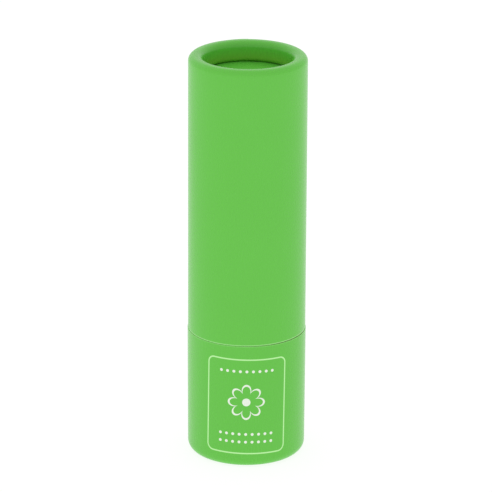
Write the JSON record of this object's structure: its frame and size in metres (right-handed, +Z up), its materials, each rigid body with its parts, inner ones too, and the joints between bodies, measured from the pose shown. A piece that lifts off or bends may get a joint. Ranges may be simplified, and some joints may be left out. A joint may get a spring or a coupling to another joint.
{
  "type": "lip balm stick",
  "caption": "Twist-up lip balm stick in a rolled-edge paper tube: a long pull-off cap over a neck, a short turning base, and a screw that lifts the wax.",
  "frame": {"origin": "centre of the ring that the base stands on, on the ground", "axes": "+Z up the tube's axis; -Y is the front that the picture shows; +X to the right of it"},
  "size_m": [0.02, 0.02, 0.0698],
  "materials": {
    "green_paper": "satin",
    "tube_board": "matte",
    "moulded_plastic": "satin",
    "balm_wax": "satin"
  },
  "bodies": {
    "base": {"base_tube": "tube_board", "base_wrap": "green_paper", "base_end_disc": "tube_board", "base_disc_facing": "green_paper", "twist_wheel": "moulded_plastic", "screw_spindle": "moulded_plastic"},
    "neck": {"barrel": "moulded_plastic", "neck_sleeve": "tube_board"},
    "elevator": {"carrier": "moulded_plastic", "balm": "balm_wax"},
    "cap": {"cap_tube": "tube_board", "cap_wrap": "green_paper", "cap_end_disc": "tube_board", "cap_disc_facing": "green_paper"}
  },
  "joints": [
    {"name": "neck_twist", "type": "hinge", "parent": "base", "child": "neck", "pos_m": [0, 0, 0.02], "axis": [0, 0, 1], "range_deg": [0, 1440]},
    {"name": "balm_rise", "type": "slide", "parent": "neck", "child": "elevator", "axis": [0, 0, 1], "range_m": [0, 0.024]},
    {"name": "cap_pull", "type": "slide", "parent": "neck", "child": "cap", "axis": [0, 0, 1], "range_m": [0, 0.048]}
  ],
  "couplings": [
    {"joint": "balm_rise", "follows": "neck_twist", "m_per_rad": 0.00095493}
  ]
}
